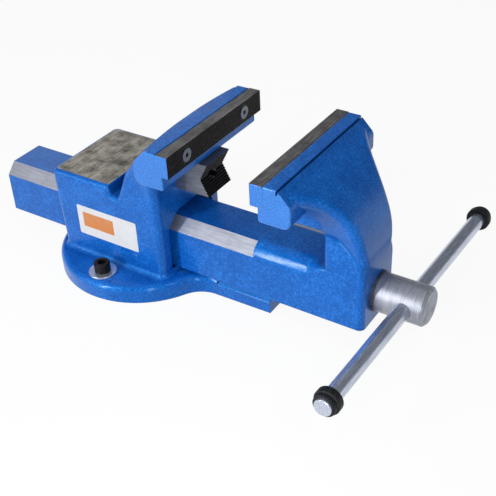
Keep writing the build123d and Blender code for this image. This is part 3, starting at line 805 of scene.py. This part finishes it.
@dataclass
class JawPlate:
    """A jaw's hardened plate with its toothed face and its two screws."""

    side: str
    body: Body
    face: float
    facing: int
    width: float = 150.0 * MM
    height: float = 21.0 * MM
    top: float = 176.0 * MM
    pitch: float = 2.5 * MM
    tooth: float = 0.6 * MM
    screw_spacing: float = 92.6 * MM
    clear: float = 7.4 * MM
    grip_share: float = 0.3
    end_share: float = 0.9

    def is_grip(self, centre: Vector, normal: Vector) -> bool:
        """Tell whether a face is on the gripping face or in its screw holes."""
        return normal.x * self.facing > self.grip_share

    def is_end(self, centre: Vector, normal: Vector) -> bool:
        """Tell whether a face is on an end, which is painted with the casting."""
        return abs(normal.y) > self.end_share and abs(centre.y) > self.width / 2 - NEAR

    def build(self, teeth: Recipe) -> None:
        """Make the plate, its teeth and its screws.

        Args:
            teeth: Tree that covers a face with pyramids.
        """
        plate = cad_copy(f"{self.side}_jaw_plate", f"{self.side}_plate")
        for vertex in plate.data.vertices:
            if abs(vertex.co.x - self.face) < TOUCH:
                vertex.co.x -= self.facing * self.tooth
        dress(plate, PLATE_STEEL, (PLATE_FACE, self.is_grip), (PAINT, self.is_end))
        hand_over(plate, self.body, "plate_steel", f"{self.side}_jaw_plate")
        cover = teeth.bake(
            f"{self.side}_plate_teeth",
            Width=self.width - self.pitch,
            Height=self.height - self.pitch,
            Pitch=self.pitch,
            Tooth=self.tooth,
            Screw_spacing=self.screw_spacing,
            Clear=self.clear,
            Place=(self.face - self.facing * self.tooth, 0.0, self.top - self.height / 2),
            Turn=(0.0, self.facing * math.pi / 2, 0.0),
            Material=PLATE_FACE.material(),
        )
        hand_over(cover, self.body, "plate_steel")
        screws = f"{self.side}_jaw_screws"
        plain_piece(screws, f"{self.side}_plate_screws", SCREW_STEEL, self.body, "screw_steel")

    @staticmethod
    def teeth() -> Recipe:
        """Return the tree that covers a face with rows of pyramids, left out round the screws."""
        sizes = ("Width", "Height", "Pitch", "Tooth", "Screw spacing", "Clear")
        recipe = Recipe("plate_teeth", sizes, Place="Vector", Turn="Vector")
        given = recipe.given
        rows = {}
        for key in ("Width", "Height"):
            steps = recipe.maths("ROUND", recipe.maths("DIVIDE", given[key], given["Pitch"]))
            rows[key] = recipe.maths("ADD", steps, 1.0)
        grid = recipe.add(
            "GeometryNodeMeshGrid",
            {
                "Size X": given["Height"],
                "Size Y": given["Width"],
                "Vertices X": rows["Height"],
                "Vertices Y": rows["Width"],
            },
        ).outputs[0]
        where = recipe.position()
        half = recipe.maths("DIVIDE", given["Screw spacing"], 2.0)
        aside = recipe.maths("SUBTRACT", recipe.maths("ABSOLUTE", where["Y"]), half)
        from_screw = recipe.add("ShaderNodeCombineXYZ", {0: where["X"], 1: aside}).outputs[0]
        far = recipe.vector("LENGTH", from_screw).outputs["Value"]
        near = {0: grid, "Selection": recipe.maths("LESS_THAN", far, given["Clear"])}
        kept = recipe.add("GeometryNodeDeleteGeometry", near, domain="POINT").outputs[0]
        spots = recipe.add("GeometryNodeMeshToPoints", {0: kept}).outputs[0]
        base = recipe.maths("MULTIPLY", given["Pitch"], math.sqrt(0.5))
        cone = recipe.add(
            "GeometryNodeMeshCone",
            {"Vertices": 4, "Radius Top": 0.0, "Radius Bottom": base, "Depth": given["Tooth"]},
            fill_type="NONE",
        ).outputs[0]
        turn = (0.0, 0.0, math.pi / 4)
        square = recipe.add("GeometryNodeTransform", {0: cone, "Rotation": turn}).outputs[0]
        set_out = {"Points": spots, "Instance": square}
        rows_of_teeth = recipe.add("GeometryNodeInstanceOnPoints", set_out).outputs[0]
        turned = {0: rows_of_teeth, "Translation": given["Place"], "Rotation": given["Turn"]}
        recipe.close(recipe.add("GeometryNodeTransform", turned).outputs[0])
        return recipe


@dataclass
class PipeJaw:
    """A toothed vee block under a jaw plate, with its screw."""

    side: str
    body: Body
    side_share: float = 0.9
    top_share: float = 0.95

    def is_ground(self, centre: Vector, normal: Vector) -> bool:
        """Tell whether a face is one of the block's ground outsides."""
        return abs(normal.y) > self.side_share or abs(normal.z) > self.top_share

    def build(self) -> None:
        """Make the block and its screw."""
        block = cad_copy(f"{self.side}_pipe_jaw", f"{self.side}_pipe_block", BLOCK_CREASE)
        dress(block, TOOTH_STEEL, (PIPE_STEEL, self.is_ground))
        hand_over(block, self.body, "pipe_jaw_steel", f"{self.side}_pipe_jaw")
        screw = f"{self.side}_pipe_jaw_screw"
        plain_piece(screw, f"{self.side}_pipe_screw", BLACK_STEEL, self.body, "screw_steel")


@dataclass
class Spindle:
    """The screw with its cut thread, and what turns or bears with it."""

    axis_height: float = 49.0 * MM
    thread_rear: float = -126.0 * MM
    thread_front: float = 130.0 * MM
    crest: float = 12.0 * MM
    root: float = 9.4 * MM
    pitch: float = 5.0 * MM
    tip: float = 6.0 * MM
    steps_a_turn: int = 32
    points_across: int = 9
    flank_slope: float = -4.0
    flank_rise: float = 1.5

    def build(self) -> None:
        """Make the shank with its head, the thread, and the small pieces round them."""
        shank = cad_copy("spindle", "spindle_shank")
        shape = bmesh.new()
        shape.from_mesh(shank.data)
        everything = [*shape.verts, *shape.edges, *shape.faces]
        plane = {"plane_co": (self.thread_front, 0, 0), "plane_no": (-1, 0, 0)}
        cut = bmesh.ops.bisect_plane(shape, geom=everything, clear_outer=True, **plane)
        rim = [edge for edge in cut["geom_cut"] if isinstance(edge, bmesh.types.BMEdge)]
        bmesh.ops.holes_fill(shape, edges=rim)
        shape.to_mesh(shank.data)
        shape.free()
        smooth(shank, CREASE)
        dress(shank, HEAD_STEEL)
        hand_over(shank, Body.SPINDLE, "bright_steel", "spindle")
        self.build_thread()
        for node, finish, slot, body in (
            ("retaining_collar", WASHER_STEEL, "washer_steel", Body.SPINDLE),
            ("collar_pin", HEAD_STEEL, "bright_steel", Body.SPINDLE),
            ("thrust_washer", WASHER_STEEL, "washer_steel", Body.MOVING_JAW),
            ("spindle_nut", NUT_IRON, "nut_iron", Body.BASE),
            ("nut_screws", BLACK_STEEL, "black_screws", Body.BASE),
        ):
            plain_piece(node, f"{node}_piece", finish, body, slot)

    def build_thread(self) -> None:
        """Wind the thread as one helical surface and close its rear end."""
        recipe = self.winding()
        start = self.thread_rear + self.tip
        turns = (self.thread_front - start) / self.pitch
        thread = recipe.bake(
            "spindle_thread",
            Turns=turns,
            Rows=int(turns * self.steps_a_turn) + 1,
            Start=start,
            Pitch=self.pitch,
            Root=self.root,
            Crest=self.crest,
            Height=self.axis_height,
            Material=THREAD_STEEL.material(),
        )
        smooth(thread, FINE_CREASE)
        hand_over(thread, Body.SPINDLE, "bright_steel")
        bevel = self.tip / 3
        rings = [(0.0, self.root - bevel, 0.0), (bevel, self.root, 0.0), (2 * self.tip, self.root, 0.0)]
        shape = spun(rings)
        place = Matrix.Translation((self.thread_rear, 0, self.axis_height))
        place = place @ Matrix.Rotation(math.pi / 2, 4, "Y")
        bmesh.ops.transform(shape, matrix=place, verts=shape.verts)
        tip = show_shape("spindle_tip", shape)
        smooth(tip, FINE_CREASE)
        dress(tip, THREAD_STEEL)
        hand_over(tip, Body.SPINDLE, "bright_steel")

    def winding(self) -> Recipe:
        """Return the tree that bends a strip into a thread round the spindle axis."""
        sizes = ("Turns", "Start", "Pitch", "Root", "Crest", "Height")
        recipe = Recipe("thread_winding", sizes, Rows="Int")
        given = recipe.given
        points = {"Vertices X": given["Rows"], "Vertices Y": self.points_across}
        strip = recipe.add("GeometryNodeMeshGrid", {"Size X": 1.0, "Size Y": 1.0, **points}).outputs[0]
        where = recipe.position()
        wound = recipe.maths("MULTIPLY", recipe.maths("ADD", where["X"], 0.5), given["Turns"])
        angle = recipe.maths("MULTIPLY", wound, 2 * math.pi)
        turns = recipe.maths("ADD", wound, where["Y"])
        along = recipe.maths("MULTIPLY_ADD", turns, given["Pitch"], given["Start"])
        aside = recipe.maths("ABSOLUTE", where["Y"])
        flank = recipe.maths("MULTIPLY_ADD", aside, self.flank_slope, self.flank_rise)
        rise = recipe.add("ShaderNodeClamp", {0: flank}).outputs[0]
        depth = recipe.maths("SUBTRACT", given["Crest"], given["Root"])
        reach = recipe.maths("MULTIPLY_ADD", rise, depth, given["Root"])
        across = recipe.maths("MULTIPLY", reach, recipe.maths("COSINE", angle))
        above = recipe.maths("MULTIPLY_ADD", reach, recipe.maths("SINE", angle), given["Height"])
        place = recipe.add("ShaderNodeCombineXYZ", {0: along, 1: across, 2: above}).outputs[0]
        bent = recipe.add("GeometryNodeSetPosition", {0: strip, "Position": place}).outputs[0]
        closed = recipe.add("GeometryNodeMergeByDistance", {0: bent, "Distance": TOUCH}).outputs[0]
        recipe.close(recipe.add("GeometryNodeFlipFaces", {0: closed}).outputs[0])
        return recipe


@dataclass
class Handle:
    """The sliding bar with a rubber ring and a cap on each end."""

    ends: tuple[str, str] = ("near", "far")

    def build(self) -> None:
        """Make the bar and both ends."""
        pieces = [("handle_bar", BAR_STEEL, "bright_steel")]
        for end in self.ends:
            pieces.append((f"handle_ring_{end}", RUBBER, "grip_rubber"))
            pieces.append((f"handle_cap_{end}", BAR_STEEL, "bright_steel"))
        for node, finish, slot in pieces:
            plain_piece(node, f"{node}_piece", finish, Body.HANDLE, slot)


@dataclass
class BenchBolts:
    """The two socket-head bolts and their washers in the flange."""

    spacing: float = 140.8 * MM
    flange_top: float = 18.0 * MM
    washer_radius: float = 14.0 * MM
    washer_bore: float = 5.3 * MM
    washer_thickness: float = 2.2 * MM
    head_radius: float = 8.0 * MM
    head_height: float = 10.0 * MM
    socket_flats: float = 4.0 * MM
    socket_depth: float = 5.5 * MM
    shank_radius: float = 5.0 * MM
    shank_end: float = 1.0 * MM
    bevel: float = 0.8 * MM

    def washer_shape(self) -> bmesh.types.BMesh:
        """Return one washer round Z, on the plane z = 0."""
        edge = self.bevel / 2
        rings = [
            (0.0, self.washer_bore, 0.0),
            (0.0, self.washer_radius - edge, 0.0),
            (edge, self.washer_radius, 0.0),
            (self.washer_thickness - edge, self.washer_radius, 0.0),
            (self.washer_thickness, self.washer_radius - edge, 0.0),
            (self.washer_thickness, self.washer_bore, 0.0),
        ]
        return spun(rings)

    def bolt_shape(self) -> bmesh.types.BMesh:
        """Return one bolt round Z, its head on the washer and its shank ending in the flange."""
        low = self.washer_thickness
        high = low + self.head_height
        floor = high - self.socket_depth
        rings = [
            (self.shank_end - self.flange_top, self.shank_radius, 0.0),
            (low, self.shank_radius, 0.0),
            (low, self.head_radius, 0.0),
            (high - self.bevel, self.head_radius, 0.0),
            (high, self.head_radius - self.bevel, 0.0),
            (high, self.socket_flats + self.bevel / 2, 1.0),
            (high - self.bevel / 2, self.socket_flats, 1.0),
            (floor, self.socket_flats, 1.0),
            (floor - self.bevel, self.socket_flats / 3, 0.0),
        ]
        return spun(rings)

    def build(self) -> None:
        """Set out both bolts and both washers."""
        recipe = self.row()
        for name, shape, finish in (
            ("bench_washers", self.washer_shape(), ZINC),
            ("bench_bolt_heads", self.bolt_shape(), BLACK_STEEL),
        ):
            pattern = show_shape(f"{name}_pattern", shape)
            piece = recipe.bake(
                name,
                Pattern=pattern,
                Spacing=self.spacing,
                Height=self.flange_top,
                Material=finish.material(),
            )
            bpy.data.objects.remove(pattern)
            smooth(piece, FINE_CREASE)
            hand_over(piece, Body.BASE, None)

    @staticmethod
    def row() -> Recipe:
        """Return the tree that sets out one pattern twice along Y."""
        recipe = Recipe("bench_bolt_row", ("Spacing", "Height"), Pattern="Object")
        given = recipe.given
        half = recipe.maths("MULTIPLY", given["Spacing"], -0.5)
        start = recipe.add("ShaderNodeCombineXYZ", {1: half, 2: given["Height"]}).outputs[0]
        step = recipe.add("ShaderNodeCombineXYZ", {1: given["Spacing"]}).outputs[0]
        places = {"Count": 2, "Start Location": start, "Offset": step}
        line = recipe.add("GeometryNodeMeshLine", places).outputs[0]
        pattern = recipe.add("GeometryNodeObjectInfo", {0: given["Pattern"]}).outputs["Geometry"]
        set_out = {"Points": line, "Instance": pattern}
        recipe.close(recipe.add("GeometryNodeInstanceOnPoints", set_out).outputs[0])
        return recipe


@dataclass
class Sticker:
    """The plain white sticker with an orange patch on the body's near side."""

    side: float = -51.0 * MM
    left: float = -41.0 * MM
    right: float = 33.4 * MM
    bottom: float = 41.0 * MM
    top: float = 74.5 * MM
    corner: float = 1.5 * MM
    corner_steps: int = 4
    thickness: float = 0.25 * MM
    lift: float = 0.05 * MM
    patch_from: tuple[float, float] = (0.09, 0.30)
    patch_to: tuple[float, float] = (0.61, 0.80)

    def build(self) -> None:
        """Make the film with rounded corners."""
        outline = []
        quarters = (
            (self.right - self.corner, self.top - self.corner, 0.0),
            (self.left + self.corner, self.top - self.corner, 0.5),
            (self.left + self.corner, self.bottom + self.corner, 1.0),
            (self.right - self.corner, self.bottom + self.corner, 1.5),
        )
        for across, up, start in quarters:
            for step in range(self.corner_steps + 1):
                turn = math.pi * (start + 0.5 * step / self.corner_steps)
                x = across + self.corner * math.cos(turn)
                z = up + self.corner * math.sin(turn)
                outline.append((x, z))
        shape = bmesh.new()
        under = self.side - self.lift
        front = [shape.verts.new((x, under - self.thickness, z)) for x, z in outline]
        back = [shape.verts.new((x, under, z)) for x, z in outline]
        shape.faces.new(front)
        shape.faces.new(list(reversed(back)))
        for step in range(len(outline)):
            after = (step + 1) % len(outline)
            shape.faces.new((front[step], back[step], back[after], front[after]))
        bmesh.ops.recalc_face_normals(shape, faces=shape.faces)
        piece = show_shape("body_sticker", shape)
        dress(piece, StickerFilm(self.spot(*self.patch_from), self.spot(*self.patch_to)))
        hand_over(piece, Body.BASE, None)

    def spot(self, across: float, up: float) -> Triple:
        """Return the place at these shares of the film's width and height."""
        width = self.right - self.left
        height = self.top - self.bottom
        return (self.left + across * width, 0.0, self.bottom + up * height)


@dataclass(frozen=True)
class SoftBox:
    """One soft lamp: where it stands from the vise, how far, how wide and high, and its watts."""

    name: str
    way: Triple
    distance: float
    width: float
    height: float
    power: float

    def hang(self, target: Triple) -> None:
        """Hang the lamp, turned to the target."""
        lamp = bpy.data.lights.new(self.name, "AREA")
        lamp.shape = "RECTANGLE"
        lamp.size = self.width
        lamp.size_y = self.height
        lamp.energy = self.power
        holder = bpy.data.objects.new(self.name, lamp)
        holder.visible_camera = False
        away = Vector(self.way).normalized()
        holder.location = Vector(target) + self.distance * away
        holder.rotation_euler = away.to_track_quat("Z", "Y").to_euler()
        bpy.context.scene.collection.objects.link(holder)


@dataclass
class Studio:
    """Floor, light and camera."""

    floor_half: float = 6.0
    camera_place: Triple = (0.5417, -0.6083, 0.5625)
    yaw: float = 34.23
    pitch: float = 34.99
    roll: float = -2.81
    focal_pixels: float = 929.94
    image_pixels: float = 496.0
    sensor: float = 36.0
    clip_start: float = 0.01
    target: Triple = (0.09, 0.0, 0.08)
    ambient: Colour = (0.13, 0.14, 0.155)
    ceiling: Colour = (0.17, 0.18, 0.20)
    wall_top: float = 0.03
    ceiling_start: float = 0.18
    lamps: list[SoftBox] = field(
        default_factory=lambda: [
            SoftBox("key", (-0.364, -0.88, 0.304), 1.3, 0.07, 0.9, 10.6),
            SoftBox("band", (-0.30, -0.75, 0.59), 1.4, 1.7, 0.09, 2.6),
            SoftBox("side", (-0.69, -0.68, 0.25), 1.45, 0.07, 0.62, 1.3),
            SoftBox("front", (0.50, -0.83, 0.25), 0.5, 0.06, 0.4, 0.8),
            SoftBox("right", (0.75, -0.25, 0.75), 1.5, 0.6, 0.6, 4.2),
            SoftBox("top", (-0.10, 0.05, 1.0), 1.7, 2.2, 2.2, 7.6),
            SoftBox("back", (-0.70, 0.58, 0.42), 2.0, 1.0, 0.4, 1.4),
        ]
    )

    def build(self) -> None:
        """Set the stage."""
        self.build_floor()
        self.build_world()
        for lamp in self.lamps:
            lamp.hang(self.target)
        self.build_camera()
        bpy.context.scene.view_settings.view_transform = "Standard"

    def build_floor(self) -> None:
        """Lay the paper the vise stands on."""
        reach = self.floor_half
        mesh = bpy.data.meshes.new("floor")
        corners = [(-reach, -reach, 0), (reach, -reach, 0), (reach, reach, 0), (-reach, reach, 0)]
        mesh.from_pydata(corners, [], [(0, 1, 2, 3)])
        floor = show("floor", mesh)
        dress(floor, StudioPaper())

    def build_world(self) -> None:
        """Make the world a white wall under a darker ceiling where it is seen, and even elsewhere."""
        world = bpy.data.worlds.new("studio")
        world.use_nodes = True
        tree = Tree(world.node_tree)
        way = tree.add("ShaderNodeTexCoord").outputs["Generated"]
        height = tree.add("ShaderNodeSeparateXYZ", {0: way}).outputs["Z"]
        colour = tree.ramp(height, [(self.wall_top, WHITE), (self.ceiling_start, self.ceiling)])
        seen = tree.add("ShaderNodeBackground", {"Color": colour}).outputs[0]
        dim = tree.add("ShaderNodeBackground", {"Color": (*self.ambient, 1.0)}).outputs[0]
        mixed = tree.add("ShaderNodeMixShader", {0: background_ray(tree), 1: dim, 2: seen}).outputs[0]
        tree.add("ShaderNodeOutputWorld", {"Surface": mixed})
        bpy.context.scene.world = world

    def build_camera(self) -> None:
        """Stand the camera where the photograph was taken."""
        yaw, pitch, roll = (math.radians(a) for a in (self.yaw, self.pitch, self.roll))
        level = math.cos(pitch)
        back = Vector((math.sin(yaw) * level, -math.cos(yaw) * level, math.sin(pitch)))
        right = (-back).cross(Vector((0, 0, 1))).normalized()
        up = right.cross(-back)
        side = math.cos(roll) * right + math.sin(roll) * up
        head = math.cos(roll) * up - math.sin(roll) * right
        lens = bpy.data.cameras.new("camera")
        lens.sensor_width = self.sensor
        lens.lens = self.focal_pixels / self.image_pixels * self.sensor
        lens.clip_start = self.clip_start
        camera = bpy.data.objects.new("camera", lens)
        aim = Matrix((side, head, back)).transposed().to_4x4()
        camera.matrix_world = Matrix.Translation(self.camera_place) @ aim
        bpy.context.scene.collection.objects.link(camera)
        bpy.context.scene.camera = camera


def write_sizes() -> None:
    """Update the view layer."""
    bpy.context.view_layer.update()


def main() -> None:
    """Build the vise from its sub-assemblies and set it in the studio."""
    logging.basicConfig(level=logging.INFO, format="%(name)s %(message)s")
    Castings().build()
    teeth = JawPlate.teeth()
    JawPlate("fixed", Body.BASE, 100.0 * MM, 1).build(teeth)
    JawPlate("moving", Body.MOVING_JAW, 182.0 * MM, -1).build(teeth)
    PipeJaw("fixed", Body.BASE).build()
    PipeJaw("moving", Body.MOVING_JAW).build()
    Spindle().build()
    Handle().build()
    BenchBolts().build()
    Sticker().build()
    Studio().build()
    write_sizes()


if __name__ == "__main__":
    main()
